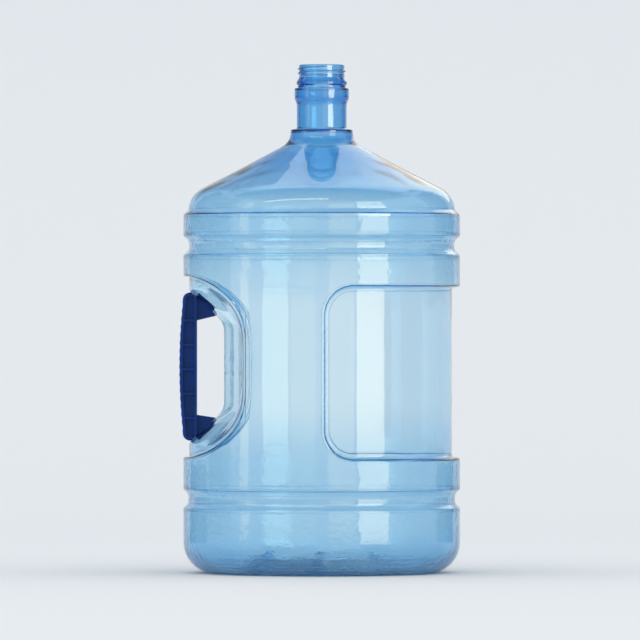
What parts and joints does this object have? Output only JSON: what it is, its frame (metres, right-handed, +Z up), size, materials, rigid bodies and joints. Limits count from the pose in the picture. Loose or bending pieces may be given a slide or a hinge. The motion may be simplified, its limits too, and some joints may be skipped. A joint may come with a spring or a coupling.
{
  "type": "water jug",
  "caption": "Tall blue see-through water jug with ring grooves, a cone shoulder, a screw neck, a recessed label panel and a dark side handle set in a recess.",
  "frame": {"origin": "centre of the base's resting plane, on the neck's axis", "axes": "+Z up along the neck, handle at -X, label panel at +X"},
  "size_m": [0.2759, 0.272, 0.499],
  "materials": {
    "clear_blue_plastic": "gloss",
    "dark_blue_plastic": "satin"
  },
  "bodies": {
    "root": {"bottle": "clear_blue_plastic", "handle": "dark_blue_plastic"}
  },
  "joints": []
}
